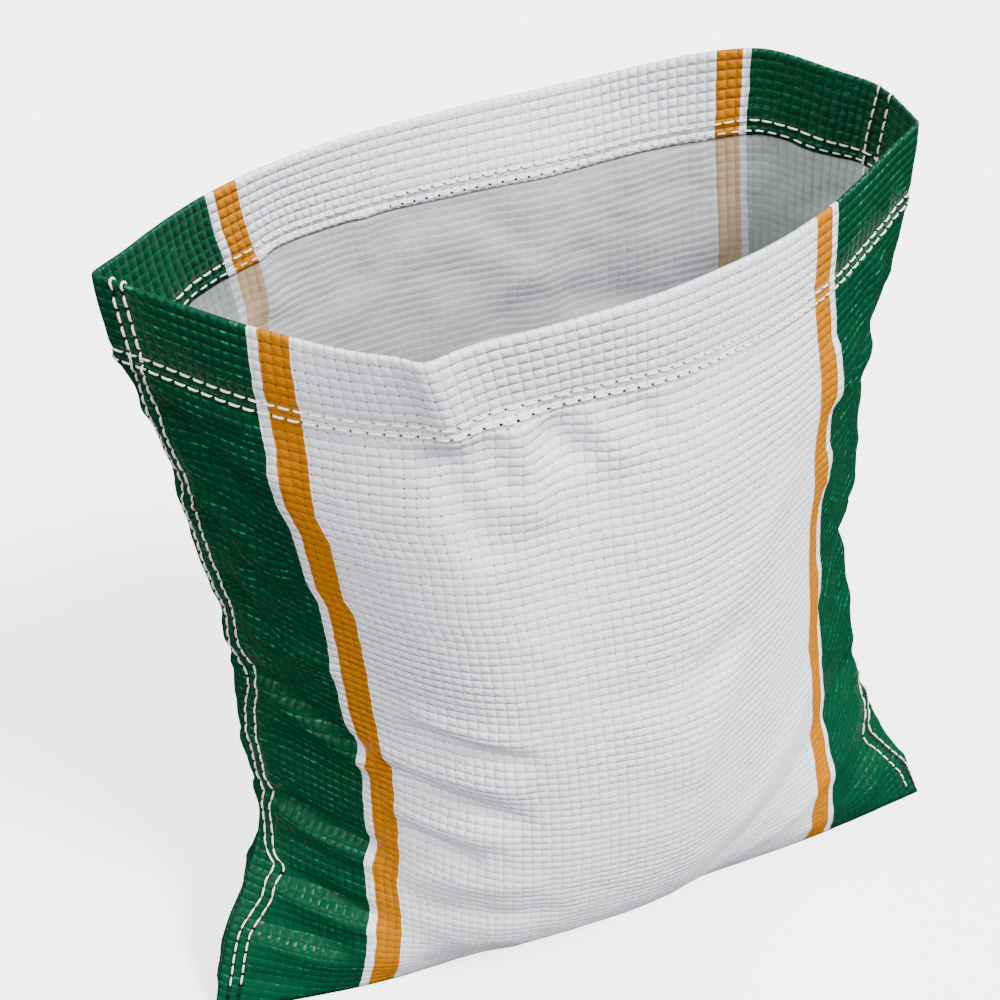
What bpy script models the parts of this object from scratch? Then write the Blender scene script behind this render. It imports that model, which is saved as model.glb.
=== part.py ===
"""Woven feed bag, empty and open, standing on its own base.

One laminated woven sheet is folded at the bottom, closed by a double-stitched seam up
each side and hemmed inwards round the mouth. Metres, +Z up, front towards -Y, origin on
the floor under the middle of the bag's box.
"""

import math

import bpy
from mathutils import Vector

# Driving dimensions of the bag
CELL = 0.460 / 95  # one square of the weave: 95 of them make the 460 mm flat width
MOUTH_HEIGHT = 0.441
HEM_DEPTH = 8.9 * CELL
WALL = 0.0012  # stands in for about 0.2 mm of coated fabric
HEM_WALL = 0.0024  # the mouth is turned in once, so it is two layers
HEM_STEP = 0.0008  # height of the step down from the hem's inner edge to the bag's wall

# Sewing thread and where its rows run
THREAD_RADIUS = 0.00045
THREAD_CLEARANCE = 0.0004
THREAD_LIFT = THREAD_RADIUS + THREAD_CLEARANCE  # its middle, off the cloth
HEM_ROW_DEPTHS = (7.4 * CELL, 8.5 * CELL)  # down from the mouth
HEM_STITCH_ROWS = (2, 3)  # mesh rows at those depths
STEP_ROW = 5  # mesh row of the inside at the foot of the hem's step
SEAM_ROW_INSETS = (2.3 * CELL, 3.6 * CELL)  # from the folded side edge
SEAM_END_HEIGHTS = {"needle": 0.012, "bobbin": 0.035}  # the corners are too tight below

# Middle of the bag's box, in the drawing of the sections below
STAND_POINT = Vector((-0.005, -0.00384, 0.0))

# Where the drawn points of a section lie across a panel, in cells from its left edge
PANEL_CELLS = 95
FRONT_CELLS = (0, 17, 31, 42, 54, 78, PANEL_CELLS)
BACK_CELLS = (0, 15, 33, 59, 76.5, 86, 90.5, PANEL_CELLS)

# Level sections from the mouth to the floor, in millimetres: height, left edge, front
# from left to right, right edge, back from left to right.
SECTIONS = (
    (441, (-218, 3), ((-164, -57), (-117, -100), (-61, -102), (-3, -96), (92, -39)),
     (163, 1), ((-162, 48), (-86, 86), (39, 108), (112, 72), (147, 42), (160, 27))),
    (400, (-213, 5), ((-162, -56), (-107, -97), (-54, -98), (-2, -98), (96, -42)),
     (165, 1), ((-159, 56), (-86, 89), (40, 103), (117, 78), (150, 48), (162, 32))),
    (345, (-202, 12), ((-156, -55), (-104, -98), (-52, -102), (2, -105), (101, -46)),
     (163, 6), ((-157, 60), (-82, 93), (40, 103), (119, 79), (151, 50), (162, 33))),
    (266, (-190, 18), ((-142, -48), (-94, -97), (-44, -110), (9, -111), (106, -46)),
     (163, 11), ((-154, 68), (-80, 98), (40, 106), (122, 79), (153, 52), (163, 35))),
    (183, (-181, 21), ((-132, -44), (-85, -95), (-36, -114), (17, -116), (112, -49)),
     (167, 10), ((-156, 76), (-82, 104), (40, 109), (126, 80), (157, 53), (167, 35))),
    (108, (-182, 14), ((-130, -45), (-82, -93), (-31, -110), (23, -109), (122, -54)),
     (175, 2), ((-156, 66), (-80, 95), (42, 100), (133, 70), (165, 42), (174, 24))),
    (62, (-196, -3), ((-132, -51), (-80, -88), (-28, -96), (26, -92), (129, -56)),
     (188, -11), ((-158, 44), (-74, 77), (48, 82), (139, 52), (174, 24), (185, 6))),
    (27, (-214, -20), ((-137, -54), (-78, -68), (-27, -70), (27, -68), (136, -55)),
     (206, -27), ((-160, 18), (-68, 54), (52, 58), (146, 24), (183, 2), (198, -13))),
    (0, (-228, -33), ((-140, -47), (-76, -49), (-25, -50), (27, -49), (138, -47)),
     (218, -40), ((-160, -8), (-62, 30), (54, 34), (150, 2), (188, -21), (206, -33))),
)

# How far the mouth waves above and below its own height at the drawn points, in
# millimetres. The wave dies out further down.
FRONT_WAVE = (2, -3, 0, 3, 5, -13, -1)
BACK_WAVE = (2, 3, -1, -4, 15, 14, 9, -1)
WAVE_FOOT = 0.240

# Heights of the mesh rows from under the hem to the floor, in metres
LOWER_ROWS = (0.372, 0.345, 0.318, 0.290, 0.262, 0.234, 0.206, 0.178, 0.150, 0.122,
              0.096, 0.074, 0.056, 0.040, 0.027, 0.016, 0.008, 0.003, 0.0)
COLUMNS = 24  # mesh columns across a panel, between its two folded edges
DOWN = Vector((0, 0, -1))


def spline(knots, values, place):
    """Smooth curve through the values at the knots, read at one place."""
    i = 0
    while i < len(knots) - 2 and knots[i + 1] < place:
        i += 1
    before = max(i - 1, 0)
    after = min(i + 2, len(knots) - 1)
    step = knots[i + 1] - knots[i]
    u = (place - knots[i]) / step
    start = (values[i + 1] - values[before]) * (step / (knots[i + 1] - knots[before]))
    end = (values[after] - values[i]) * (step / (knots[after] - knots[i]))
    return (
        values[i] * (1 + 2 * u) * (1 - u) ** 2
        + start * u * (1 - u) ** 2
        + values[i + 1] * u * u * (3 - 2 * u)
        + end * u * u * (u - 1)
    )


def surface_point(front, across, height):
    """Point of the bag's outside, at a number of cells from a panel's left edge."""
    cells, waves = (FRONT_CELLS, FRONT_WAVE) if front else (BACK_CELLS, BACK_WAVE)
    depths = [-section[0] / 1000 for section in SECTIONS]
    drawn = [(s[1], *(s[2] if front else s[4]), s[3]) for s in SECTIONS]
    controls = []
    for i in range(len(cells)):
        column = [Vector(points[i]).to_3d() / 1000 for points in drawn]
        controls.append(spline(depths, column, -height))
    point = spline(cells, controls, across) - STAND_POINT
    fade = max(0.0, (height - WAVE_FOOT) / (MOUTH_HEIGHT - WAVE_FOOT))
    point.z = height + fade * spline(cells, waves, across) / 1000
    return point


def ring(height, inset=0.0):
    """One closed row of the bag's outside: front left to right, then the back again.

    With an inset the row starts and ends that far from the folded edges, and its two
    corner points are midway between the front and the back.
    """
    corner = inset / CELL
    edge, seam = (place / CELL for place in SEAM_ROW_INSETS)
    edge = max(edge, 1.6 * corner)
    seam = max(seam, 2.4 * corner)
    inner = PANEL_CELLS - 2 * seam
    spread = [seam + inner * i / (COLUMNS - 4) for i in range(COLUMNS - 3)]
    places = [corner, edge, *spread, PANEL_CELLS - edge, PANEL_CELLS - corner]
    front_row, back_row = (
        [surface_point(front, place, height) for place in places] for front in (True, False)
    )
    left = (front_row[0] + back_row[0]) / 2
    right = (front_row[-1] + back_row[-1]) / 2
    return [left, *front_row[1:-1], right, *reversed(back_row[1:-1])]


def ring_normals(rings):
    """Outward unit normal at each point of a stack of rings, and its corner factor."""
    normals = []
    count = len(rings[0])
    for r, row in enumerate(rings):
        above = rings[max(r - 1, 0)]
        below = rings[min(r + 1, len(rings) - 1)]
        line = []
        for i in range(count):
            before = (row[i] - row[i - 1]).normalized()
            after = (row[(i + 1) % count] - row[i]).normalized()
            slope = (below[i] - above[i]).normalized()
            sides = [slope.cross(before).normalized(), slope.cross(after).normalized()]
            middle = (sides[0] + sides[1]).normalized()
            line.append(middle / max(middle.dot(sides[0]), 0.2))
        normals.append(line)
    return normals


def hem_heights():
    """Heights of the mouth, the middle of the hem and its two stitched rows."""
    return [MOUTH_HEIGHT - depth for depth in (0.0, HEM_DEPTH / 2, *HEM_ROW_DEPTHS)]


def corner_inset(row, wall):
    """How far from the folded edge the two inner walls meet."""
    count = len(row)
    insets = []
    for corner in (0, COLUMNS):
        one = (row[(corner + 1) % count] - row[corner]).normalized()
        other = (row[corner - 1] - row[corner]).normalized()
        half = one.angle(other) / 2
        insets.append(wall / math.tan(half))
    return max(insets) * 1.15


def outside_rings():
    """Rows of the outside with their normals, the stitched hem rows among them."""
    rings = [ring(height) for height in (*hem_heights(), *LOWER_ROWS)]
    return rings, ring_normals(rings)


def inside_rings():
    """Rows of the inside with their normals: the hem's extra layer, its step, the wall."""
    hem_edge = MOUTH_HEIGHT - HEM_DEPTH
    levels = [(height, HEM_WALL) for height in (*hem_heights(), hem_edge)]
    levels += [(height, WALL) for height in (hem_edge - HEM_STEP, *LOWER_ROWS)]
    bare = [ring(height, corner_inset(ring(height), wall)) for height, wall in levels]
    normals = ring_normals(bare)
    hem_rows = len(hem_heights()) + 1
    normals[:hem_rows] = [[Vector((n.x, n.y, 0)) for n in row] for row in normals[:hem_rows]]
    normals[-1] = [DOWN] * len(bare[-1])
    rings = []
    for (_, wall), row, outward in zip(levels, bare, normals):
        rings.append([point - n * wall for point, n in zip(row, outward)])
    return rings, normals


def floor_faces(start, count, upward):
    """Faces of a flat floor between the front and the back of the lowest row."""
    faces = []
    half = COLUMNS
    for i in range(half):
        front_a, front_b = start + i, start + i + 1
        back_a, back_b = start + (count - i) % count, start + (count - i - 1) % count
        corners = [front_a, front_b, back_b, back_a]
        corners = list(dict.fromkeys(corners))
        faces.append(corners if upward else corners[::-1])
    return faces


def build_sheet(material):
    """The woven sheet: one open shell with its hem, its folded sides and its base."""
    outside, _ = outside_rings()
    inside, _ = inside_rings()
    count = len(outside[0])
    points = [point for row in outside + inside for point in row]
    faces = []
    for r in range(len(outside) - 1):
        for i in range(count):
            j = (i + 1) % count
            top, low = r * count, (r + 1) * count
            faces.append([top + i, low + i, low + j, top + j])
    base = len(outside) * count
    for i in range(count):
        j = (i + 1) % count
        faces.append([i, j, base + j, base + i])
    for r in range(len(inside) - 1):
        for i in range(count):
            j = (i + 1) % count
            top, low = base + r * count, base + (r + 1) * count
            faces.append([top + i, top + j, low + j, low + i])
    faces += floor_faces((len(outside) - 1) * count, count, upward=False)
    faces += floor_faces(base + (len(inside) - 1) * count, count, upward=True)
    mesh = bpy.data.meshes.new("bag_sheet")
    mesh.from_pydata(points, [], faces)
    mesh.materials.append(material)
    mesh.shade_smooth()
    return add_object("bag_sheet", mesh)


def add_object(name, data):
    obj = bpy.data.objects.new(name, data)
    bpy.data.collections["woven_feed_bag"].objects.link(obj)
    return obj


def build_thread(name, points, material, closed):
    """A sewing thread through the given points."""
    curve = bpy.data.curves.new(name, "CURVE")
    curve.dimensions = "3D"
    curve.bevel_depth = THREAD_RADIUS
    curve.bevel_resolution = 0
    curve.use_fill_caps = not closed
    line = curve.splines.new("POLY")
    line.points.add(len(points) - 1)
    for target, point in zip(line.points, points):
        target.co = (*point, 1.0)
    line.use_cyclic_u = closed
    curve.materials.append(material)
    return add_object(name, curve)


def build_material(name, colour, roughness):
    material = bpy.data.materials.new(name)
    material.use_nodes = True
    shader = material.node_tree.nodes["Principled BSDF"]
    shader.inputs["Base Color"].default_value = (*colour, 1.0)
    shader.inputs["Roughness"].default_value = roughness
    shader.inputs["Metallic"].default_value = 0.0
    return material


def build_hem_threads(material):
    """Two rows of lockstitch round the hem: needle threads outside, bobbin threads inside."""
    for kind, (rings, normals), way in (
        ("needle", outside_rings(), 1),
        ("bobbin", inside_rings(), -1),
    ):
        for label, row in zip(("upper", "lower"), HEM_STITCH_ROWS):
            path = [p + n * way * THREAD_LIFT for p, n in zip(rings[row], normals[row])]
            build_thread(f"hem_{kind}_thread_{label}", path, material, closed=True)


def build_seam_threads(material):
    """Two rows of lockstitch down each side: on the front at the left, the back at the right."""
    crossing = 2 * THREAD_RADIUS + THREAD_CLEARANCE  # over a hem thread
    columns = {"left": (1, 2), "right": (COLUMNS + 1, COLUMNS + 2)}
    for kind, (rings, normals), way in (
        ("needle", outside_rings(), 1),
        ("bobbin", inside_rings(), -1),
    ):
        for side, pair in columns.items():
            for label, column in zip(("edge", "body"), pair):
                path = []
                for r, row in enumerate(rings):
                    steps_down = kind == "bobbin" and r == STEP_ROW
                    if steps_down or row[column].z < SEAM_END_HEIGHTS[kind]:
                        continue
                    lift = THREAD_LIFT + (crossing if r in HEM_STITCH_ROWS else 0.0)
                    path.append(row[column] + normals[r][column] * way * lift)
                name = f"{side}_seam_{kind}_thread_{label}"
                build_thread(name, path, material, closed=False)


def main():
    for obj in list(bpy.data.objects):
        bpy.data.objects.remove(obj, do_unlink=True)
    collection = bpy.data.collections.new("woven_feed_bag")
    bpy.context.scene.collection.children.link(collection)
    fabric = build_material("coated_woven_fabric", (0.80, 0.81, 0.83), 0.35)
    thread = build_material("cream_thread", (0.85, 0.80, 0.68), 0.7)
    build_sheet(fabric)
    build_hem_threads(thread)
    build_seam_threads(thread)


main()
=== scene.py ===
"""Looks of the woven feed bag: an open, empty sack of printed, coated plastic weave.

Lengths are metres, and places on the cloth are counted in cells of its weave, the way
the photograph shows them: around the mouth from the left folded edge, and down from it.
"""

import math

import bpy
import numpy as np
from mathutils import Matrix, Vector, noise


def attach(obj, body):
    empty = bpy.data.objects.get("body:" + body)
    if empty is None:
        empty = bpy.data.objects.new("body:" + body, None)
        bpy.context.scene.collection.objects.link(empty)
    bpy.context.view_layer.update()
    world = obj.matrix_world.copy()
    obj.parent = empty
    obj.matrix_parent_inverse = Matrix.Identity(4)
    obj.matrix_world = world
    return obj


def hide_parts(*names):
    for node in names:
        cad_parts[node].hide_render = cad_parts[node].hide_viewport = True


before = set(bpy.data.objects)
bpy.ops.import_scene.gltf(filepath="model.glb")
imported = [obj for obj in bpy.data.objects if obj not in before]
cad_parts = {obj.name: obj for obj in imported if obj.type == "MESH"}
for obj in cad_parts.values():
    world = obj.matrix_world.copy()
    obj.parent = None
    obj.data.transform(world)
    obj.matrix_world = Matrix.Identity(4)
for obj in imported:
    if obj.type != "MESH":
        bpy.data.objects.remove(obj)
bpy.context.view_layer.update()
for thing in list(bpy.context.selected_objects):
    thing.select_set(False)


# The bag's sheet. One piece of flat polypropylene tapes woven plain and coated with clear
# film, printed with green edges and orange stripes. It is folded at the bottom and the
# left side, and its mouth is turned in once, so the hem's inner layer shows the print.
CELL = 0.460 / 95
PANEL_CELLS = 95.0
RING_CELLS = 2 * PANEL_CELLS
MOUTH_HEIGHT = 0.441
HEM_CELLS = 8.9
HEM_ROW_CELLS = (7.4, 8.5)
CLOTH_THICKNESS = 0.00035
HEM_GAP = 0.0021  # between the printed faces of the hem's two layers, where it puffs
HEM_GAP_SEWN = 0.0012  # and where the stitches pull it flat
RIM_CELLS = 0.19
STAND_POINT = np.array((-0.005, -0.00384, 0.0))
FRONT_CELLS = (0, 17, 31, 42, 54, 78, 95)
BACK_CELLS = (0, 15, 33, 59, 76.5, 86, 90.5, 95)
SECTIONS = (
    (441, (-218, 3), ((-164, -57), (-117, -100), (-61, -102), (-3, -96), (92, -39)),
     (163, 1), ((-162, 48), (-86, 86), (39, 108), (112, 72), (147, 42), (160, 27))),
    (400, (-213, 5), ((-162, -56), (-107, -97), (-54, -98), (-2, -98), (96, -42)),
     (165, 1), ((-159, 56), (-86, 89), (40, 103), (117, 78), (150, 48), (162, 32))),
    (345, (-202, 12), ((-156, -55), (-104, -98), (-52, -102), (2, -105), (101, -46)),
     (163, 6), ((-157, 60), (-82, 93), (40, 103), (119, 79), (151, 50), (162, 33))),
    (266, (-190, 18), ((-142, -48), (-94, -97), (-44, -110), (9, -111), (106, -46)),
     (163, 11), ((-154, 68), (-80, 98), (40, 106), (122, 79), (153, 52), (163, 35))),
    (183, (-181, 21), ((-132, -44), (-85, -95), (-36, -114), (17, -116), (112, -49)),
     (167, 10), ((-156, 76), (-82, 104), (40, 109), (126, 80), (157, 53), (167, 35))),
    (108, (-182, 14), ((-130, -45), (-82, -93), (-31, -110), (23, -109), (122, -54)),
     (175, 2), ((-156, 66), (-80, 95), (42, 100), (133, 70), (165, 42), (174, 24))),
    (62, (-196, -3), ((-132, -51), (-80, -88), (-28, -96), (26, -92), (129, -56)),
     (188, -11), ((-158, 44), (-74, 77), (48, 82), (139, 52), (174, 24), (185, 6))),
    (27, (-214, -20), ((-137, -54), (-78, -68), (-27, -70), (27, -68), (136, -55)),
     (206, -27), ((-160, 18), (-68, 54), (52, 58), (146, 24), (183, 2), (198, -13))),
    (0, (-228, -33), ((-140, -47), (-76, -49), (-25, -50), (27, -49), (138, -47)),
     (218, -40), ((-160, -8), (-62, 30), (54, 34), (150, 2), (188, -21), (206, -33))),
)
FRONT_WAVE = (2, -3, 0, 3, 5, -13, -1)
BACK_WAVE = (2, 3, -1, -4, 15, 9, 5, -1)
WAVE_FOOT = 0.240


def spline(knots, values, places):
    """Smooth curve through the values at the knots, read at many places."""
    knots = np.asarray(knots, float)
    i = np.clip(np.searchsorted(knots, places, side="right") - 1, 0, len(knots) - 2)
    before = np.maximum(i - 1, 0)
    after = np.minimum(i + 2, len(knots) - 1)
    step = knots[i + 1] - knots[i]
    t = ((places - knots[i]) / step)[:, None]
    rows = np.arange(len(places))

    def value(index):
        return values[index] if values.ndim == 2 else values[index, rows]

    start = (value(i + 1) - value(before)) * (step / (knots[i + 1] - knots[before]))[:, None]
    end = (value(after) - value(i)) * (step / (knots[after] - knots[i]))[:, None]
    return (
        value(i) * (1 + 2 * t) * (1 - t) ** 2
        + start * t * (1 - t) ** 2
        + value(i + 1) * t * t * (3 - 2 * t)
        + end * t * t * (t - 1)
    )


def drawn_point(around, drop):
    """Point of the drawn outside, at cells around the mouth and cells below it."""
    around = around % RING_CELLS
    height = MOUTH_HEIGHT - drop * CELL
    points = np.empty((len(around), 3))
    levels = [-section[0] / 1000 for section in SECTIONS]
    for front, cells, waves in ((True, FRONT_CELLS, FRONT_WAVE), (False, BACK_CELLS, BACK_WAVE)):
        chosen = (around <= PANEL_CELLS) == front
        across = around[chosen] if front else RING_CELLS - around[chosen]
        drawn = np.array([(s[1], *(s[2] if front else s[4]), s[3]) for s in SECTIONS]) / 1000
        columns = np.array([spline(levels, drawn[:, k], -height[chosen]) for k in range(len(cells))])
        place = spline(cells, columns, across)
        wave = spline(cells, np.array(waves, float)[:, None] / 1000, across)[:, 0]
        fade = np.clip((height[chosen] - WAVE_FOOT) / (MOUTH_HEIGHT - WAVE_FOOT), 0, 1)
        points[chosen] = np.column_stack((place, height[chosen] + fade * wave))
    return points - STAND_POINT


def rounded_point(around, drop):
    """The same with its folded edges rounded over, tightly at the hem and at the floor."""
    spread = np.interp(drop, (0, 9, 20, 60, 82, 91), (0.3, 0.4, 1.2, 1.0, 0.6, 0.4))
    total = 0.0
    for offset, weight in ((-2, 1), (-1, 4), (0, 6), (1, 4), (2, 1)):
        total = total + drawn_point(around + offset * spread * 0.8, drop) * weight / 16
    return total


def outward(around, drop):
    """Outward unit normal of the rounded outside."""
    reach = 0.5
    up = np.maximum(drop - reach, 0)
    down = np.minimum(drop + reach, MOUTH_HEIGHT / CELL)
    along = rounded_point(around + reach, drop) - rounded_point(around - reach, drop)
    fall = rounded_point(around, down) - rounded_point(around, up)
    normal = np.cross(fall, along)
    return normal / np.linalg.norm(normal, axis=1)[:, None]


# Lengths of cloth down the bag, so that a cell of the weave keeps its size on a slope
TABLE_AROUND = np.arange(0.0, RING_CELLS + 1)
TABLE_DROP = np.linspace(0, MOUTH_HEIGHT / CELL, 184)
table = rounded_point(
    np.repeat(TABLE_AROUND, len(TABLE_DROP)), np.tile(TABLE_DROP, len(TABLE_AROUND))
).reshape(len(TABLE_AROUND), len(TABLE_DROP), 3)
CLOTH_DOWN = np.zeros(table.shape[:2])
CLOTH_DOWN[:, 1:] = np.cumsum(np.linalg.norm(np.diff(table, axis=1), axis=2), axis=1) / CELL
DEPTHS = np.linspace(0, 104, 417)
DROP_AT = np.array([np.interp(DEPTHS, column, TABLE_DROP) for column in CLOTH_DOWN])


def look_up(grid, around, place, places):
    """Value of a table between its columns and rows."""
    column = (around % RING_CELLS) / RING_CELLS * (len(grid) - 1)
    row = np.clip(place / places[-1], 0, 1) * (len(places) - 1)
    c = np.minimum(column.astype(int), len(grid) - 2)
    r = np.minimum(row.astype(int), len(places) - 2)
    a, b = column - c, row - r
    upper = grid[c, r] * (1 - a) + grid[c + 1, r] * a
    lower = grid[c, r + 1] * (1 - a) + grid[c + 1, r + 1] * a
    return upper * (1 - b) + lower * b


def drop_of(around, depth):
    return look_up(DROP_AT, around, depth, DEPTHS)


def depth_of(around, drop):
    return look_up(CLOTH_DOWN, around, drop, TABLE_DROP)


# Folds of the front, each a line on the cloth: start and end (cells around, cells
# down), height in millimetres, negative for a valley, and half width in cells.
FRONT_FOLDS = (
    # the crease from the kink of the mouth, and the puckers under it
    ((31, -4), (31.6, 11), 2.4, 1.6),
    ((36.5, -3), (36, 9), -1.6, 3.0),
    ((30, 9), (34.5, 23), -2.4, 2.2),
    ((33.6, 8.5), (36.6, 16), -1.8, 1.5),
    ((36.4, 7), (38.5, 20), 2.4, 1.7),
    ((39.2, 9.2), (43.4, 15), -2.4, 1.6),
    ((42.6, 9), (47.6, 16), 1.5, 1.6),
    ((48, 9), (51, 14), -1.0, 1.2),
    # the fan of folds that the left seam draws out of the green
    ((1.5, 10.0), (16, 10.8), 2.0, 1.8),
    ((2.5, 12.0), (11, 22.0), -3.0, 1.7),
    ((6, 14.6), (17, 16.0), 1.8, 2.2),
    ((2.0, 22.6), (12, 29.6), 2.0, 1.1),
    ((2.0, 26.2), (9.5, 34.5), -2.2, 1.4),
    ((3.5, 30.2), (13, 30.6), 1.8, 1.8),
    ((2.0, 34.0), (9.0, 44.0), -1.8, 1.5),
    ((4.0, 43.6), (16, 41.4), 2.4, 2.0),
    ((1.5, 48.6), (17, 54.8), -3.6, 1.4),
    ((2.2, 50.6), (17.5, 56.6), 3.2, 1.1),
    ((2.5, 58.0), (17, 59.0), -1.6, 1.8),
    ((1.5, 67.0), (17.5, 68.8), -3.2, 1.2),
    ((2.0, 68.8), (17.5, 71.6), 2.8, 1.1),
    ((3.0, 76.0), (16.5, 78.8), -3.4, 1.1),
    ((3.5, 77.8), (16.5, 81.0), 3.0, 1.0),
    ((1.5, 81.2), (14, 83.8), -2.8, 1.0),
    ((1.5, 82.8), (13.5, 86.2), 2.4, 1.0),
    ((0.5, 86.6), (11, 89.2), -1.8, 0.9),
    # where those folds run out over the white
    ((18, 55.2), (35, 57.0), -2.2, 1.4),
    ((17, 52.8), (35, 51.8), 2.0, 1.8),
    ((19, 64.0), (29, 64.4), -2.2, 1.2),
    ((18, 61.4), (33, 60.2), 1.8, 1.5),
    ((19, 71.0), (36, 66.4), 1.6, 1.8),
    ((20, 75.4), (38, 72.0), -1.4, 1.5),
    ((22, 44.4), (36, 45.0), 1.6, 1.5),
    ((21, 47.2), (36, 47.6), -1.8, 1.3),
    # long soft folds towards the lower right corner
    ((50, 55), (66, 31), 1.6, 3.0),
    ((52, 38), (72, 25), 1.4, 3.0),
    ((44, 42), (66, 38), -1.2, 3.0),
    ((56, 70), (80, 60), 1.4, 2.6),
    ((58, 76), (82, 68), -1.6, 2.2),
    ((60, 83), (88, 76), 1.4, 2.0),
    # the right edge
    ((96, 20.6), (80.5, 34.5), -3.4, 1.5),
    ((90, 11), (80.5, 24), 2.4, 2.0),
    ((88, 12), (84, 19), -1.6, 1.2),
    ((97, 51.6), (80, 52.8), -2.6, 1.5),
    ((96, 44), (84, 46), 1.8, 1.8),
    ((96, 61), (83, 62), 1.8, 1.8),
    ((97, 71.0), (80, 69.6), -2.6, 1.4),
    ((94, 76), (80, 80), 2.2, 1.4),
    ((93, 80), (82, 86), -2.0, 1.2),
    ((92, 84), (84, 90), 1.8, 1.0),
    ((80.5, 15), (81, 24), 1.8, 2.6),
    ((80.5, 29), (81, 35), 1.6, 2.2),
    ((79.5, 36), (79.5, 47), -1.2, 2.2),
)


def fold_height(around, drop, fold):
    """Height of one fold, which dies out at its two ends and to both sides."""
    (start_x, start_y), (end_x, end_y), height, width = fold
    x = (around - start_x + PANEL_CELLS) % RING_CELLS - PANEL_CELLS
    y = drop - start_y
    run_x, run_y = end_x - start_x, end_y - start_y
    length = math.hypot(run_x, run_y)
    along = (x * run_x + y * run_y) / length**2
    aside = (x * run_y - y * run_x) / length
    taper = np.clip(1 - (2 * along - 1) ** 4, 0, 1)
    return height / 1000 * taper * np.exp(-((aside / width) ** 2))


# Folds of the back under the hem, which stand inwards and show through the mouth
BACK_FOLDS = (
    ((135, 7), (136, 33), -2.8, 3.0),
    ((124, 8), (124, 26), -2.2, 3.0),
    ((145, 9), (142, 30), 1.4, 3.5),
    ((156, 8), (156, 15), -1.6, 1.2),
    ((170, 8), (168, 17), -2.8, 1.3),
    ((150, 12), (132, 24), -1.6, 2.5),
    ((113, 8), (112, 17), -1.2, 1.2),
    ((107, 8), (106, 15), -1.2, 1.2),
    ((118, 9), (118, 14), -0.9, 0.9),
    ((163, 9), (163, 13), -0.9, 0.9),
    ((130, 9), (130, 13), -0.8, 0.8),
)


# Folds of the panels' other edges, where the photograph shows none: the seams and the
# folded edges gather the cloth in short slanting folds.
chance = np.random.default_rng(7)
EDGE_FOLDS = []
for edge, way in ((PANEL_CELLS, 1), (RING_CELLS, -1)):
    drop = 12.0
    while drop < 88:
        reach = chance.uniform(7, 15)
        slant = chance.uniform(-1, 7)
        start = (edge + way * chance.uniform(-1, 2), drop)
        end = (edge + way * reach, drop + slant)
        height = chance.uniform(1.4, 3.0)
        EDGE_FOLDS.append((start, end, -height, chance.uniform(1.1, 1.6)))
        EDGE_FOLDS.append(
            ((start[0], drop + 1.9), (end[0], drop + slant + 2.3), height, chance.uniform(1.1, 1.6))
        )
        drop += chance.uniform(5, 9)
for _ in range(26):
    x, y = chance.uniform(108, 176), chance.uniform(10, 82)
    lean, reach = chance.uniform(-0.7, 0.7), chance.uniform(7, 16)
    EDGE_FOLDS.append(
        (
            (x, y),
            (x + reach * math.cos(lean), y + reach * math.sin(lean)),
            chance.choice((-1, 1)) * chance.uniform(0.9, 2.0),
            chance.uniform(1.6, 3.0),
        )
    )

# How far the two folded edges stand out, in millimetres, at cells below the mouth
LEFT_EDGE = (
    (0, 0.5), (5, 1.5), (8.3, 3.4), (11.7, 0.5), (17, -1), (22, -2), (26, 1), (29, 0),
    (35, 0.4), (43, -0.8), (46, 2), (50, -0.6), (54, 0.4), (59, 1.6), (64, -1.2),
    (69, -1.6), (74, -2.6), (77, 0.8), (82, 3), (88, 1.4), (92, 0),
)
RIGHT_EDGE = (
    (0, 1), (6, -0.6), (12, 1.2), (17, 2), (22, 0), (26, 2.2), (32, 0), (37, 1.6),
    (44, 1), (51, 0.4), (56, 2), (66, 2.6), (70.6, 3), (74, 0.4), (81, 2), (88, 3), (92, 1),
)
EDGE_REACH = 3.2


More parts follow.
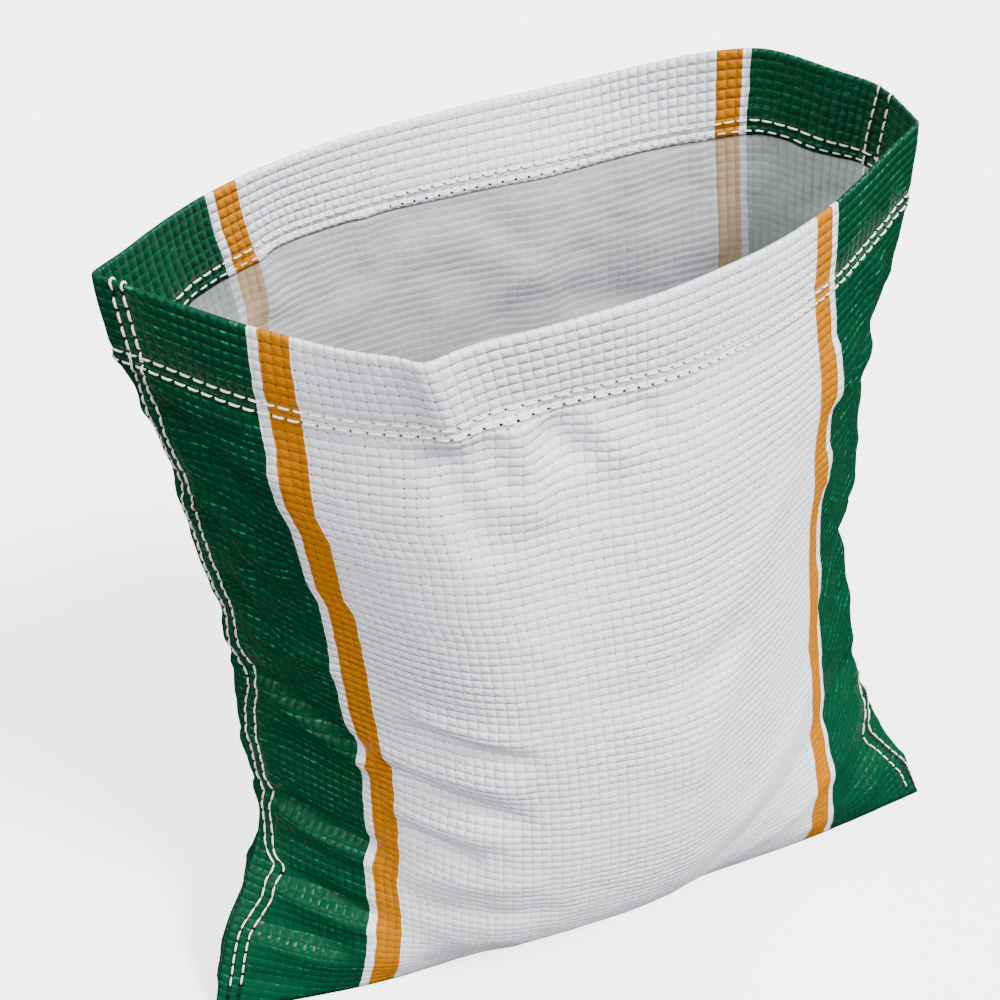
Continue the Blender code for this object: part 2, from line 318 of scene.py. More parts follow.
def push(around, drop, points):
    """How far the cloth stands out of the drawn surface, for folds, puckers and crumples."""
    out = np.zeros(len(around))
    for fold in FRONT_FOLDS:
        side = 1.4 if fold[1][0] < 18 or fold[0][0] > 79 else 1.5
        out += side * fold_height(around, drop, fold)
    for fold in (*BACK_FOLDS, *EDGE_FOLDS):
        out += fold_height(around, drop, fold)
    for edge, line in ((0.0, LEFT_EDGE), (PANEL_CELLS, RIGHT_EDGE)):
        away = (around - edge + PANEL_CELLS) % RING_CELLS - PANEL_CELLS
        stand = np.interp(drop, *zip(*line)) / 1000
        out += stand * np.exp(-((away / EDGE_REACH) ** 2))
    # the back leans in under the mouth
    lean = np.clip(np.minimum(around - 100, 185 - around) / 14, 0, 1)
    out -= 0.0032 * lean * np.interp(drop, (0, 9, 24), (0, 1, 0))
    # the hem puffs above its stitches, and the cloth falls back under it
    out += 0.0006 * np.clip(np.sin(math.pi * drop / HEM_ROW_CELLS[0]), 0, 1) * (drop < 7.4)
    for row in HEM_ROW_CELLS:
        out -= 0.0005 * np.exp(-(((drop - row) / 0.32) ** 2))
    out -= 0.0007 * np.clip((drop - 8.9) / 0.5, 0, 1) * np.exp(-np.clip(drop - 9.4, 0, None) / 5)
    # fine crumples, stronger near the edges and the floor than in the middle
    edge = np.minimum(around % PANEL_CELLS, PANEL_CELLS - around % PANEL_CELLS)
    front = (around % RING_CELLS) < PANEL_CELLS
    calm = np.where(front, 0.35, 0.8)
    loose = calm + 0.9 * np.exp(-((edge / 9) ** 2)) + 0.5 * np.clip((drop - 55) / 35, 0, 1)
    loose *= np.clip(drop / 14, 0.25, 1)
    rough = np.empty(len(around))
    for i, point in enumerate(points):
        p = Vector(point)
        broad = noise.noise(p * 19)
        sharp = 1 - 2 * abs(noise.noise(p * 42 + Vector((5, 1, 2))))
        small = noise.noise(p * 105)
        rough[i] = 0.0020 * broad + 0.0009 * sharp + 0.00025 * small
    out += rough * loose
    # nothing stands out of the row that the bag rests on
    return out * np.clip((MOUTH_HEIGHT / CELL - drop) / 4, 0.15, 1)


def cloth_point(around, drop):
    """Point of the printed outside of the finished bag, with its outward normal."""
    points = rounded_point(around, drop)
    normals = outward(around, drop)
    points = points + normals * push(around, drop, points)[:, None]
    points[:, 2] = np.maximum(points[:, 2], 0.0)
    return points, normals


def level(normals):
    """The same directions laid flat, for the hem's inner layer."""
    flat = normals * (1, 1, 0)
    return flat / np.linalg.norm(flat, axis=1)[:, None]


def hem_depth(around, depth):
    """Depth at a place for a depth of the hem, which is turned in deeper on the back."""
    share = np.interp(around, (97, 106, 116, 126, 165, 174, 184, 189), (0, 1, 1, 0, 0, 1, 1, 0))
    return depth * (1 + 0.1 * share * share * (3 - 2 * share))


def hem_gap(depth):
    """Distance between the printed faces of the hem's two layers."""
    sewn = sum(np.exp(-(((depth - row) / 0.7) ** 2)) for row in HEM_ROW_CELLS)
    return HEM_GAP + (HEM_GAP_SEWN - HEM_GAP) * np.clip(sewn, 0, 1)


def hem_inside(around, depth):
    """Point of the hem's inner layer, at cells down the cloth from the mouth."""
    points, normals = cloth_point(around, drop_of(around, hem_depth(around, depth)))
    flat = level(normals)
    return points - flat * hem_gap(depth)[:, None], -flat


# Where the stitch rows of the left seam wander on the front, drawn by its puckers, as
# (cells down, cells from the folded edge) of the row nearer the edge
LEFT_SEAM = (
    (0, 1.9), (4, 2.1), (7.5, 2.1), (11, 1.4), (16, 1.1), (20, 1.1), (24, 1.7), (27, 1.0),
    (35, 1.0), (41, 1.1), (45, 1.0), (49.5, 1.4), (52.5, 1.9), (55.5, 1.2), (59, 0.9),
    (64, 1.0), (66, 0.9), (68.4, 1.5), (70.5, 1.1), (73.4, 1.5), (75.5, 1.9), (77, 3.2), (79, 2.7),
    (81, 2.5), (83, 1.8), (85.3, 1.1), (88, 1.0), (92, 1.2), (100, 1.5),
)
RIGHT_SEAM = (
    (0, 3.4), (9, 3.6), (14, 2.8), (20, 3.0), (27, 2.0), (34, 2.6), (41, 1.8), (48, 2.4),
    (55, 1.6), (62, 2.0), (69, 1.4), (73, 0.8), (76.5, -1.0), (79, -1.9), (81.3, -3.7),
    (84.5, -3.1), (88, -2.2), (91, -1.6), (100, -1.2),
)
SEAM_ROW_GAP = 1.15


def seam_place(side, depth):
    """Cells around the mouth of a seam's row nearer the folded edge."""
    line = LEFT_SEAM if side == "left" else RIGHT_SEAM
    knots, cells = zip(*line)
    wander = spline(knots, np.array(cells)[:, None], np.atleast_1d(depth))[:, 0]
    return wander if side == "left" else PANEL_CELLS + wander


def seam_distance(around, depth):
    """Cells from a seam's row nearer the edge, counted away from the edge."""
    left = (around - seam_place("left", depth) + PANEL_CELLS) % RING_CELLS - PANEL_CELLS
    right = around - seam_place("right", depth)
    return np.where(np.abs(left) < np.abs(right), left, right)


# The cloth is pulled a little askew beside its puckers. Cells that the print shifts
# around the bag, by cells down it, at the front's left and right and the back's
SKEW = (
    ((0, 5, 15, 20, 40), ((0, 0.3), (12, 0.1), (19, -0.5), (22, 0.3), (30, -0.2), (32, 0.5),
     (48, -0.3), (53, 0), (54.5, 0.6), (69, 0.6), (73, 0), (78, 0.3), (89, 0.6))),
    ((58, 74, 81, 84, 94), ((0, 0), (7, -0.7), (10, -0.4), (17, 0.2), (21, 0.3), (24, -0.3),
     (32, 0.5), (34, -0.2), (40, 0.3), (49, 0.9), (52, 0.4), (57, 0.9), (58.5, 0.4), (63, 0.7),
     (71, 0.7), (78, 0.4), (82, -0.2), (89, 0.4))),
    ((98, 108, 112, 126, 145), ((0, -0.3), (9, -0.3), (24, -1.7), (34, -1.8), (70, 0))),
    ((148, 166, 171, 177, 188), ((0, 0), (4, -0.2), (9, -1.1), (14, -1.9), (30, -1.8), (60, 0))),
)


def skewed(around, depth):
    """Cells around the cloth at a place around the bag."""
    shift = np.zeros(len(around))
    for (foot, rise, _, fall, end), line in SKEW:
        knots, cells = zip(*line)
        share = np.interp(around, (foot, rise, fall, end), (0, 1, 1, 0))
        shift += share * share * (3 - 2 * share) * np.interp(np.abs(depth), knots, cells)
    return around - shift


def build_sheet():
    """Mesh of the sheet's printed face: hem inside, rim, outside, then the folded base."""
    half = [0, 0.3, 0.7, 1.15, 1.65, 2.2, 2.8, 3.45, 4.1, 4.75]
    middle = list(np.linspace(5.4, PANEL_CELLS - 5.4, 131))
    across = [*half, *middle, *[PANEL_CELLS - place for place in reversed(half)]]
    around = np.array(across[:-1] + [PANEL_CELLS + place for place in across[:-1]])
    count = len(around)
    hem = [8.9, 8.7, 8.5, 8.3, 7.95, 7.6, 7.4, 7.2, 6.7, 6.0, 5.2, 4.3, 3.4, 2.5, 1.6, 0.8, 0.35]
    rows, downs = [], []
    for depth in hem:
        rows.append(hem_inside(around, np.full(count, depth))[0])
        downs.append(np.full(count, -depth))
    base, normals = cloth_point(around, np.full(count, RIM_CELLS))
    flat = level(normals)
    radius = hem_gap(np.array([0.0]))[0] / 2
    for turn in (150, 120, 90, 60, 30):
        angle = math.radians(turn)
        lift = np.array((0, 0, radius * math.sin(angle)))
        rows.append(base - flat * radius * (1 - math.cos(angle)) + lift)
        downs.append(np.full(count, RIM_CELLS * math.cos(angle)))
    outside = [*reversed(hem), 9.15, 9.5, 9.9]
    for depth in outside:
        drop = drop_of(around, np.full(count, depth))
        rows.append(cloth_point(around, drop)[0])
        downs.append(np.full(count, depth))
    last = CLOTH_DOWN[np.round(around).astype(int) % int(RING_CELLS), -1]
    lower = 116
    for k in range(1, lower + 1):
        share = k / lower
        start = drop_of(around, np.full(count, outside[-1]))
        drop = start + (MOUTH_HEIGHT / CELL - start) * share
        rows.append(cloth_point(around, drop)[0])
        downs.append(depth_of(around, drop))
    points = np.concatenate(rows)
    total = len(rows)
    faces = []
    for r in range(total - 1):
        for i in range(count):
            j = (i + 1) % count
            faces.append((r * count + i, (r + 1) * count + i, (r + 1) * count + j, r * count + j))
    # the base: cloth between the front and the back of the lowest row
    size = count // 2
    floor_rows = 9
    lowest = (total - 1) * count
    grid = [[lowest + i for i in range(size + 1)]]
    extra, extra_around, extra_down = [], [], []
    for r in range(1, floor_rows):
        line = [lowest]
        for i in range(1, size):
            front = points[lowest + i]
            back = points[lowest + count - i]
            line.append(len(points) + len(extra))
            share = r / floor_rows
            place = front * (1 - share) + back * share
            extra.append((place[0], place[1], 0.0))
            extra_around.append(around[i])
            extra_down.append(last[i] + np.linalg.norm(back - front) * share / CELL)
        line.append(lowest + size)
        grid.append(line)
    grid.append([lowest, *[lowest + count - i for i in range(1, size)], lowest + size])
    for upper, under in zip(grid, grid[1:]):
        for i in range(size):
            corners = [upper[i], under[i], under[i + 1], upper[i + 1]]
            faces.append(tuple(dict.fromkeys(corners)))
    points = np.concatenate((points, np.array(extra)))
    mesh = bpy.data.meshes.new("bag_cloth")
    mesh.from_pydata([tuple(p) for p in points], [], faces)
    all_around = np.concatenate((np.tile(around, total), extra_around))
    all_down = np.concatenate((*downs, extra_down))
    corner_points = np.array([corner.vertex_index for corner in mesh.loops])
    cells = mesh.uv_layers.new(name="cells")
    u = skewed(all_around, all_down)[corner_points]
    # the last column's faces run on past the left edge instead of jumping back to it
    for polygon in mesh.polygons:
        inside = list(polygon.loop_indices)
        if u[inside].max() - u[inside].min() > PANEL_CELLS:
            u[inside] = np.where(u[inside] < PANEL_CELLS, u[inside] + RING_CELLS, u[inside])
    cells.data.foreach_set("uv", np.column_stack((u, all_down[corner_points])).ravel())
    seams = mesh.attributes.new("seam", "FLOAT", "POINT")
    seams.data.foreach_set("value", seam_distance(all_around, np.abs(all_down)))
    mesh.shade_smooth()
    return mesh


class Pattern:
    """One value in a material. Arithmetic on it adds the material's Math nodes."""

    def __init__(self, finish, socket):
        self.finish = finish
        self.socket = socket

    def math(self, operation, *others, clamp=False):
        settings = {"operation": operation, "use_clamp": clamp}
        return self.finish.node("ShaderNodeMath", settings, [self, *others])

    def __add__(self, other):
        return self.math("ADD", other)

    def __radd__(self, other):
        return self.math("ADD", other)

    def __sub__(self, other):
        return self.math("SUBTRACT", other)

    def __rsub__(self, other):
        return self.finish.node("ShaderNodeMath", {"operation": "SUBTRACT"}, [other, self])

    def __mul__(self, other):
        return self.math("MULTIPLY", other)

    def __rmul__(self, other):
        return self.math("MULTIPLY", other)

    def __truediv__(self, other):
        return self.math("DIVIDE", other)

    def __pow__(self, other):
        return self.math("POWER", other)

    def __abs__(self):
        return self.math("ABSOLUTE")

    def step(self, low, high):
        """0 below low and 1 above high, smooth between; high may be the smaller."""
        settings = {"interpolation_type": "SMOOTHSTEP"}
        if low < high:
            return self.finish.node("ShaderNodeMapRange", settings, [self, low, high, 0.0, 1.0])
        return self.finish.node("ShaderNodeMapRange", settings, [self, high, low, 1.0, 0.0])


class Finish:
    """A material being made, with one method for all its nodes."""

    def __init__(self, name):
        self.material = bpy.data.materials.new(name)
        self.material.use_nodes = True
        self.tree = self.material.node_tree
        self.shader = self.tree.nodes["Principled BSDF"]

    def node(self, kind, settings, inputs, output=0):
        made = self.tree.nodes.new(kind)
        for key, value in settings.items():
            setattr(made, key, value)
        entries = inputs.items() if isinstance(inputs, dict) else enumerate(inputs)
        for key, value in entries:
            self.join(value, made.inputs[key])
        return Pattern(self, made.outputs[output])

    def join(self, value, socket):
        if isinstance(value, Pattern):
            self.tree.links.new(value.socket, socket)
        else:
            socket.default_value = value

    def mix(self, share, first, second):
        """Colour between two colours."""
        settings = {"data_type": "RGBA"}
        return self.node("ShaderNodeMix", settings, {0: share, 6: first, 7: second}, output=2)

    def cells(self):
        """Cells around the bag and down it."""
        place = self.node("ShaderNodeUVMap", {"uv_map": "cells"}, [])
        split = self.node("ShaderNodeSeparateXYZ", {}, [place])
        return place, split, Pattern(self, split.socket.node.outputs[1])

    def noise(self, vector, scale, detail=2.0, roughness=0.5):
        inputs = {"Vector": vector, "Scale": scale, "Detail": detail, "Roughness": roughness}
        return self.node("ShaderNodeTexNoise", {}, inputs)

    def bump(self, height, distance, strength=1.0, under=None):
        inputs = {"Height": height, "Distance": distance, "Strength": strength}
        if under is not None:
            inputs["Normal"] = under
        return self.node("ShaderNodeBump", {}, inputs)


HEM_STITCHES = 136
SEAM_STITCH_CELLS = 1.4
WHITE = (0.755, 0.76, 0.83, 1)
GREEN = (0.0006, 0.039, 0.0165, 1)
ORANGE = (0.41, 0.135, 0.0001, 1)
HOLE = (0.006, 0.008, 0.008, 1)
PRINT = {  # cells from the panel's left edge: green to, orange from and to, twice
    "front": (14.75, 15.75, 18.75, 76.25, 79.25, 80.25),
    "back": (14.9, 15.9, 18.8, 73.0, 75.6, 76.4),
}


def panel_print(finish, u, wobble):
    """Masks of the green edges and of the orange stripes, on both panels."""
    back = u.step(PANEL_CELLS - 0.01, PANEL_CELLS + 0.01) * u.step(
        RING_CELLS + 0.01, RING_CELLS - 0.01
    )
    past = u.math("MODULO", RING_CELLS)
    across = past * (1 - back) + (RING_CELLS - past) * back + wobble
    masks = []
    for side, share in (("front", 1 - back), ("back", back)):
        left, start, end, right_start, right_end, right = PRINT[side]
        soft = 0.03
        green = across.step(left + soft, left - soft) + across.step(right - soft, right + soft)
        first = across.step(start - soft, start + soft) * across.step(end + soft, end - soft)
        second = across.step(right_start - soft, right_start + soft) * across.step(
            right_end + soft, right_end - soft
        )
        masks.append((green * share, (first + second) * share))
    (green, orange), (green_back, orange_back) = masks
    return across, green + green_back, orange + orange_back


def weave_relief(u, v, squares, ribs_down, ribs_across):
    """Height of the plain weave: pillowed squares and ribs both ways, each by its share."""
    across = abs(u.math("FRACT") * 2 - 1)
    down = abs(v.math("FRACT") * 2 - 1)
    turn = (u.math("FLOOR") + v.math("FLOOR")).math("PINGPONG", 1.0)
    flat_across = 1 - across**2.4
    flat_down = 1 - down**2.4
    round_across = 1 - across * across * 0.7
    round_down = 1 - down * down * 0.7
    pillows = flat_across * round_down * turn + flat_down * round_across * (1 - turn)
    relief = pillows * squares + flat_across * ribs_down + flat_down * ribs_across
    return relief, across, down


def needle_holes(finish, u, v, seam):
    """Dark needle holes, and painted shade in the furrows between them: two hem rows, two rows a seam."""
    depth = abs(v)
    pitch = RING_CELLS / HEM_STITCHES
    dots, sewn = None, None
    for row, radius, shift in ((HEM_ROW_CELLS[0], 0.13, 0.0), (HEM_ROW_CELLS[1], 0.17, 0.5)):
        x = (u / pitch + shift).math("FRACT")
        x = (x - (x.step(0.499, 0.501))) * pitch
        y = depth - row
        dot = (x * x + y * y).math("SQRT").step(radius, radius * 0.55)
        dots = dot if dots is None else dots.math("MAXIMUM", dot)
        line = abs(y).step(0.34, 0.12)
        sewn = line if sewn is None else sewn.math("MAXIMUM", line)
    for row in (0.0, SEAM_ROW_GAP):
        y = (depth / SEAM_STITCH_CELLS + row * 0.3).math("FRACT")
        y = (y - (y.step(0.499, 0.501))) * SEAM_STITCH_CELLS
        x = seam - row
        dot = (x * x + y * y).math("SQRT").step(0.24, 0.12)
        dots = dots.math("MAXIMUM", dot)
        sewn = sewn.math("MAXIMUM", abs(x).step(0.34, 0.12))
    return dots, sewn


def printed_finish():
    """The coated outer face: print, weave, pinholes where tapes cross and needle holes."""
    finish = Finish("printed_weave")
    place, u, v = finish.cells()
    body = finish.node("ShaderNodeTexCoord", {}, [], output="Object")
    seam = finish.node("ShaderNodeAttribute", {"attribute_name": "seam"}, [], output="Fac")
    wobble = (finish.noise(place, 0.55, 2.0) - 0.5) * 0.35
    across, green, orange = panel_print(finish, u, wobble)
    depth = abs(v)
    patch = finish.noise(body, 15.0, 3.0, 0.55).step(0.3, 0.7)
    # the weave shows less low down, where the film is stretched over it
    worn = 0.45 + depth.step(82, 52) * 0.55
    hem = depth.step(8.9, 8.6)
    smooth = u.step(13, 17) * u.step(37, 30) * depth.step(34, 22)
    turned_in = v.step(-0.1, -0.3)
    squares = (0.35 + patch * 0.5 + hem * 0.15 + turned_in * 0.2) * worn * (1 - smooth * 0.5)
    ribs_down = (1 - patch) * 0.14 + hem * 0.08 + green * 0.12
    ribs_across = (green * 0.14 + 0.12) * worn * (0.5 + patch * 0.5)
    relief, x, y = weave_relief(u, v, squares, ribs_down, ribs_across)
    crossing = ((1 - x) ** 2 + (1 - y) ** 2).math("SQRT")
    luck = finish.noise(place, 3.1, 1.0).step(0.40, 0.55)
    pinholes = crossing.step(0.30, 0.08) * luck * (1 - green * 0.6) * (1 + smooth * 0.3)
    holes, sewn = needle_holes(finish, u, v, seam)
    # painted shade in the grooves between the tapes
    groove_shade = x.step(0.8, 1.0) * 0.55 + y.step(0.78, 1.0) * 0.6
    # painted highlight: a lighter green in patches on the tapes, painted where they would catch the light
    crest_highlight = y.step(0.35, 0.8) * finish.noise(place, 1.3, 2.0).step(0.40, 0.65)
    ink_and_highlights = finish.mix(crest_highlight * 0.55 * worn, GREEN, (0.001, 0.075, 0.032, 1))
    # painted highlights: thin bright lines painted into the colour where the film shines along the upper
    # edges of the level tapes
    fall = v.math("FRACT")
    shine = fall.step(0.03, 0.10) * fall.step(0.30, 0.18) * x.step(0.85, 0.6)
    shine = shine * finish.noise(place, 0.42, 2.0).step(0.50, 0.62)
    shine = shine * finish.noise(place, 2.3, 1.0).step(0.42, 0.55) * worn
    ink_and_highlights = finish.mix(shine * 0.8, ink_and_highlights, (0.020, 0.21, 0.115, 1))
    colour = finish.mix(green, WHITE, ink_and_highlights)
    colour = finish.mix(orange, colour, ORANGE)
    dirt = finish.noise(body, 240.0, 3.0)
    # painted shade in the grooves and along the stitch rows, with dark pinholes and a random tone, mixes the
    # colour towards near black
    painted_shade_and_tone = pinholes * 0.6 + groove_shade * (0.012 + green * 0.30) + (dirt - 0.5) * 0.05
    # painted shade along the stitch rows, darker on the green
    painted_shade_and_tone = painted_shade_and_tone + sewn * (0.08 + green * 0.5)
    colour = finish.mix(painted_shade_and_tone.math("MAXIMUM", 0.0), colour, (0.004, 0.008, 0.006, 1))
    colour = finish.mix(holes, colour, HOLE)
    finish.join(colour, finish.shader.inputs["Base Color"])
    scuffs = finish.noise(body, 55.0, 4.0, 0.6)
    rough = 0.22 + scuffs * 0.16 + (1 - green) * 0.10
    finish.join(rough, finish.shader.inputs["Roughness"])
    creases = finish.noise(body, 90.0, 3.0, 0.55)
    height = relief - pinholes * 0.3 - holes * 1.2
    soft = finish.bump(creases, 0.0016, 0.6)
    finish.join(finish.bump(height, 0.0010, 1.0, soft), finish.shader.inputs["Normal"])
    finish.shader.inputs["Specular IOR Level"].default_value = 0.07
    return finish.material


def inner_finish():
    """The unprinted inside: ribbed grey white, with the print showing faintly through."""
    finish = Finish("unprinted_weave")
    place, u, v = finish.cells()
    body = finish.node("ShaderNodeTexCoord", {}, [], output="Object")
    wobble = (finish.noise(place, 0.55, 2.0) - 0.5) * 0.35
    across, green, orange = panel_print(finish, u, wobble)
    sway = (finish.noise(body, 22.0, 2.0) - 0.5) * 1.4
    patch = finish.noise(body, 14.0, 2.0).step(0.35, 0.65)
    upright = (green + orange).math("MINIMUM", 1.0)
    relief, x, y = weave_relief(u, v + sway * 0.4, 0.12 + patch * 0.2, upright * 0.5 + 0.06, 0.05)
    ribs = ((v * 1.0 + sway) * math.tau).math("SINE") * 0.5 + 0.5
    relief = relief + ribs * (1 - upright * 0.85) * (0.10 + (1 - patch) * 0.20)
    colour = finish.mix(green, (0.52, 0.525, 0.56, 1), (0.27, 0.30, 0.295, 1))
    colour = finish.mix(orange, colour, (0.42, 0.30, 0.18, 1))
    # painted shade: a shadow band under the hem's edge, darker further down inside the bag, and a little in
    # the rib troughs
    painted_shade_inside = v.step(11.0, 9.2) * 0.2 + v.step(9, 44) * 0.6 + (1 - ribs) * 0.03
    colour = finish.mix(painted_shade_inside, colour, (0.10, 0.105, 0.11, 1))
    finish.join(colour, finish.shader.inputs["Base Color"])
    finish.join(0.36 + finish.noise(body, 60.0, 3.0) * 0.14, finish.shader.inputs["Roughness"])
    soft = finish.bump(finish.noise(body, 70.0, 3.0), 0.0015, 0.6)
    finish.join(finish.bump(relief, 0.0008, 1.0, soft), finish.shader.inputs["Normal"])
    finish.shader.inputs["Specular IOR Level"].default_value = 0.2
    return finish.material


bag = bpy.data.objects.new("bag_cloth", build_sheet())
bpy.context.scene.collection.objects.link(bag)
bag.data.materials.append(printed_finish())
bag.data.materials.append(inner_finish())
wall = bag.modifiers.new("cloth_thickness", "SOLIDIFY")
wall.thickness = CLOTH_THICKNESS
wall.offset = -1.0
wall.material_offset = 1
wall.material_offset_rim = 1
bpy.context.view_layer.objects.active = bag
bag.select_set(True)
bpy.ops.object.modifier_apply(modifier=wall.name)
bag.select_set(False)
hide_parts("bag_sheet")
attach(bag, "root")


# The hem's sewing threads. Two rows of lockstitch in cream polyester thread hold the
# turned-in mouth: the needle's thread shows outside and the bobbin's on the inner layer.
THREAD_RADIUS = 0.00054
THREAD_SIDES = 6
STITCH_SHARES = (0.0, 0.06, 0.13, 0.2, 0.28, 0.5, 0.72, 0.8, 0.87, 0.94)
STITCH_DIP = 0.00085
STITCH_BULGE = 0.00045


def stitch_rise(share):
    """0 where the thread is in a needle hole and 1 where it lies on the cloth."""
    from_hole = np.clip(np.minimum(share, 1 - share) / 0.27, 0, 1)
    return from_hole * from_hole * (3 - 2 * from_hole)


def stitch_lift(share):
    """Height of the thread's middle over the cloth, from one needle hole to the next."""
    return -STITCH_DIP + (STITCH_DIP + STITCH_BULGE) * stitch_rise(share)


def build_thread(name, points, normals, rise, closed, finish):
    """A round thread along the points, thinner in its holes, with a map for its twist."""
    count = len(points)
    if closed:
        ahead = np.roll(points, -1, axis=0) - np.roll(points, 1, axis=0)
    else:
        ahead = np.gradient(points, axis=0)
    ahead /= np.linalg.norm(ahead, axis=1)[:, None]
    side = np.cross(ahead, normals)
    side /= np.linalg.norm(side, axis=1)[:, None]
    up = np.cross(side, ahead)
    vertices = []
    for k in range(THREAD_SIDES):
        angle = math.tau * k / THREAD_SIDES
        ring = side * math.cos(angle) + up * math.sin(angle)
        vertices.append(points + ring * (THREAD_RADIUS * (0.42 + 0.58 * rise))[:, None])
    vertices = np.stack(vertices, axis=1).reshape(-1, 3)
    faces = []
    for i in range(count if closed else count - 1):
        j = (i + 1) % count
        for k in range(THREAD_SIDES):
            m = (k + 1) % THREAD_SIDES
            ring, after = i * THREAD_SIDES, j * THREAD_SIDES
            faces.append((ring + k, after + k, after + m, ring + m))
    if not closed:
        faces.append(tuple(range(THREAD_SIDES)))
        faces.append(tuple(reversed(range((count - 1) * THREAD_SIDES, count * THREAD_SIDES))))
    mesh = bpy.data.meshes.new(name)
    mesh.from_pydata([tuple(v) for v in vertices], [], faces)
    length = np.concatenate(([0], np.cumsum(np.linalg.norm(np.diff(points, axis=0), axis=1))))
    twist = mesh.uv_layers.new(name="twist")
    corner_points = np.array([corner.vertex_index for corner in mesh.loops])
    along = length[corner_points // THREAD_SIDES] * 1000
    turn = (corner_points % THREAD_SIDES) / THREAD_SIDES
    twist.data.foreach_set("uv", np.column_stack((along, turn)).ravel())
    mesh.materials.append(finish)
    mesh.shade_smooth()
    thread = bpy.data.objects.new(name, mesh)
    bpy.context.scene.collection.objects.link(thread)
    return thread


def thread_finish():
    """Twisted polyester: cream, matt, with slanting plies and fine fuzz."""
    finish = Finish("cream_polyester_thread")
    place = finish.node("ShaderNodeUVMap", {"uv_map": "twist"}, [])
    along = finish.node("ShaderNodeSeparateXYZ", {}, [place])
    turn = Pattern(finish, along.socket.node.outputs[1])
    ply = ((along * 1.1 + turn * 2.0).math("FRACT") * 2 - 1) ** 2
    body = finish.node("ShaderNodeTexCoord", {}, [], output="Object")
    fuzz = finish.noise(body, 1800.0, 2.0)
    # painted shade between the plies, with the fuzz as a random tone
    painted_shade_and_tone = (ply * 0.35 + fuzz * 0.2).math("MINIMUM", 1.0)
    colour = finish.mix(painted_shade_and_tone, (0.80, 0.78, 0.72, 1), (0.52, 0.49, 0.42, 1))
    finish.join(colour, finish.shader.inputs["Base Color"])
    finish.join(0.62 + fuzz * 0.2, finish.shader.inputs["Roughness"])
    finish.join(finish.bump(1 - ply, 0.0001, 0.8), finish.shader.inputs["Normal"])
    finish.shader.inputs["Sheen Weight"].default_value = 0.15
    return finish.material


cream_thread = thread_finish()


def dress(thread, node):
    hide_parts(node)
    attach(thread, "root")


for label, row, shift in (("upper", HEM_ROW_CELLS[0], 0.0), ("lower", HEM_ROW_CELLS[1], 0.5)):
    stitches = (np.arange(HEM_STITCHES)[:, None] + np.array(STITCH_SHARES)).ravel()
    cells_around = ((stitches - shift) * RING_CELLS / HEM_STITCHES) % RING_CELLS
    rise = stitch_rise(stitches % 1)
    lift = stitch_lift(stitches % 1)[:, None]
    depth = np.full(len(stitches), row)
    points, normals = cloth_point(cells_around, drop_of(cells_around, depth))
    name = f"hem_needle_thread_{label}"
    points += normals * lift
    dress(build_thread(name + "_stitches", points, normals, rise, True, cream_thread), name)
    points, normals = hem_inside(cells_around, depth)
    drawn_in = 0.0 if label == "upper" else 0.0006
    points += normals * np.maximum(lift - drawn_in, -STITCH_DIP)
    name = f"hem_bobbin_thread_{label}"
    dress(build_thread(name + "_stitches", points, normals, rise, True, cream_thread), name)


# The seams' sewing threads. The sheet's raw sides are lapped and closed by two rows of
# lockstitch each, on the front at the left and on the back at the right. The rows cross
# the hem's and turn over the mouth, and the cloth puckers along them.
SEAM_DEPTH = {"needle": (0.5, 93.0), "bobbin": (0.9, 86.0)}


def over_rim(around, depth):
    """Point and normal on the rounded rim, for depths inside (negative) to outside."""
    angle = (0.5 - np.clip(depth / (2 * RIM_CELLS), -0.5, 0.5)) * math.pi
    base, normals = cloth_point(around, np.full(len(around), RIM_CELLS))
    flat = level(normals)
    radius = hem_gap(np.array([0.0]))[0] / 2
    turned = flat * np.cos(angle)[:, None] + np.array((0, 0, 1)) * np.sin(angle)[:, None]
    return base - flat * radius + turned * radius, turned


def seam_route(side, row, kind):
    """Thread's middle and the cloth's normal down one seam row, on one face of the bag."""
    top, foot = SEAM_DEPTH[kind]
    gap = row * (1.0 if side == "left" else 1.3)
    first = math.ceil(top / SEAM_STITCH_CELLS + row * 0.3)
    last = math.floor(foot / SEAM_STITCH_CELLS + row * 0.3)
    stitches = (np.arange(first, last)[:, None] + np.array(STITCH_SHARES)).ravel()
    depth = (stitches - row * 0.3) * SEAM_STITCH_CELLS
    around = seam_place(side, depth) + gap
    points, normals = cloth_point(around, drop_of(around, depth))
    lift = stitch_lift(stitches % 1)
    if kind == "needle":
        for hem_row in HEM_ROW_CELLS:
            lift += 2 * THREAD_RADIUS * np.exp(-(((depth - hem_row) / 0.35) ** 2))
        points = points + normals * lift[:, None]
        over = np.array((-0.19, -0.1, 0.0, 0.1, 0.19))
        place = np.full(len(over), around[0])
        rim, rim_normals = over_rim(place, over)
        inner, inner_normals = hem_inside(place[:1], np.array([0.9]))
        return (
            np.concatenate((inner, rim + rim_normals * STITCH_BULGE, points)),
            np.concatenate((inner_normals, rim_normals, normals)),
            np.concatenate(([0.0], np.ones(len(rim)), stitch_rise(stitches % 1))),
        )
    flat = level(normals)
    hem = depth < HEM_CELLS + 0.2
    inner = np.where(hem[:, None], -flat, -normals)
    lift = np.where(hem, lift, np.maximum(lift, -0.0002))
    gap = np.where(hem, hem_gap(depth), CLOTH_THICKNESS)
    return points + inner * (gap + lift)[:, None], inner, stitch_rise(stitches % 1)


for side in ("left", "right"):
    for kind in ("needle", "bobbin"):
        for label, row in (("edge", 0.0), ("body", SEAM_ROW_GAP)):
            name = f"{side}_seam_{kind}_thread_{label}"
            points, normals, rise = seam_route(side, row, kind)
            stitched = build_thread(name + "_stitches", points, normals, rise, False, cream_thread)
            dress(stitched, name)


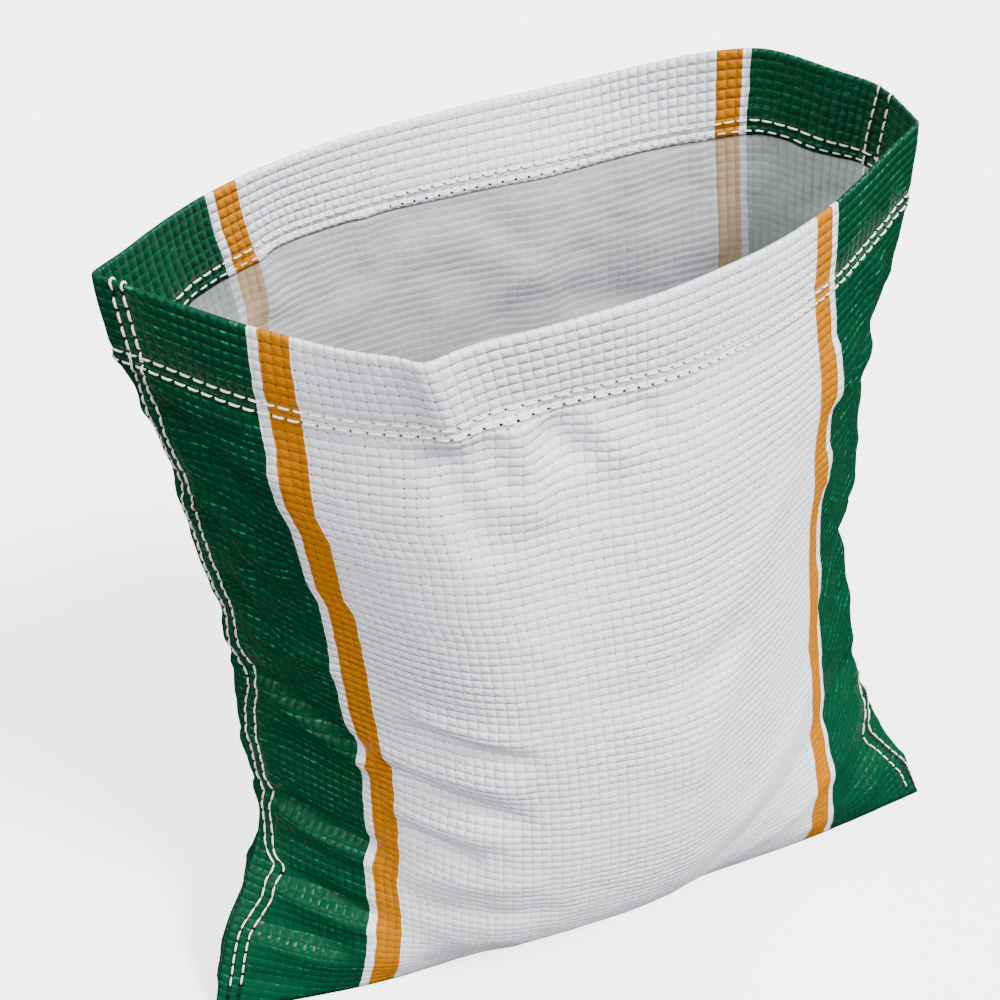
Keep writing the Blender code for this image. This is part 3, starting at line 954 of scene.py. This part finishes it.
# The floor it stands on, the studio's soft light and the camera, which aren't part of
# the bag. The camera stands in front of it, to its left and above.
bpy.ops.mesh.primitive_plane_add(size=14, location=(0, 0, -0.0002))
floor = bpy.context.object
floor.name = "studio_floor"
bpy.ops.object.transform_apply(location=True)
floor_finish = Finish("studio_floor")
speck = floor_finish.noise(floor_finish.node("ShaderNodeTexCoord", {}, [], output="Object"), 3.0)
tone = floor_finish.mix(speck, (0.80, 0.80, 0.80, 1), (0.815, 0.815, 0.815, 1))
floor_finish.join(tone, floor_finish.shader.inputs["Base Color"])
floor_finish.shader.inputs["Roughness"].default_value = 0.9
floor_finish.shader.inputs["Specular IOR Level"].default_value = 0.1
floor_finish.shader.inputs["Emission Color"].default_value = (1, 1, 1, 1)
floor_finish.shader.inputs["Emission Strength"].default_value = 2.3
floor.data.materials.append(floor_finish.material)
floor.visible_diffuse = False
floor.visible_glossy = False

world = bpy.data.worlds.new("studio")
bpy.context.scene.world = world
world.use_nodes = True
tree = world.node_tree
direction = tree.nodes.new("ShaderNodeTexCoord")
rise = tree.nodes.new("ShaderNodeSeparateXYZ")
ramp = tree.nodes.new("ShaderNodeValToRGB")
spread = tree.nodes.new("ShaderNodeMapRange")
tree.links.new(direction.outputs["Generated"], rise.inputs[0])
tree.links.new(rise.outputs[2], spread.inputs[0])
spread.inputs[1].default_value = -1.0
spread.inputs[2].default_value = 1.0
tree.links.new(spread.outputs[0], ramp.inputs[0])
stops = ramp.color_ramp.elements
stops[0].position = 0.40
stops[0].color = (0.05, 0.05, 0.05, 1)
stops[1].position = 0.98
stops[1].color = (0.55, 0.55, 0.56, 1)
for place, value in ((0.50, 0.30), (0.56, 0.95), (0.70, 0.85)):
    stop = stops.new(place)
    stop.color = (value, value, value * 1.01, 1)
tree.links.new(ramp.outputs[0], tree.nodes["Background"].inputs["Color"])
tree.nodes["Background"].inputs["Strength"].default_value = 1.0


def lamp(name, turn, height, soft, power):
    """A soft far light from a turn (degrees right of the front) and a height over the floor."""
    turn, height = math.radians(turn), math.radians(height)
    place = Vector((math.sin(turn) * math.cos(height), -math.cos(turn) * math.cos(height), math.sin(height)))
    bpy.ops.object.light_add(type="SUN", location=place * 3)
    light = bpy.context.object
    light.name = name
    light.data.energy = power * math.pi
    light.data.angle = math.radians(soft)
    light.rotation_euler = place.to_track_quat("Z", "Y").to_euler()


lamp("key", 36, 50, 14, 2.5)
lamp("high_left", -50, 42, 26, 0.75)
lamp("left_strip", -80, 16, 14, 0.30)
lamp("front_strip", 24, 12, 14, 0.40)
lamp("right_strip", 120, 22, 20, 0.9)

CAMERA_PLACE = Vector((-0.274, -0.5762, 0.778))
CAMERA_AIM = Vector((0.2919, 0.7254, -0.6234))
bpy.ops.object.camera_add(location=CAMERA_PLACE)
camera = bpy.context.object
camera.rotation_euler = CAMERA_AIM.to_track_quat("-Z", "Y").to_euler()
camera.data.lens = 59.35
camera.data.sensor_width = 36
camera.data.clip_start = 0.01
bpy.context.scene.camera = camera
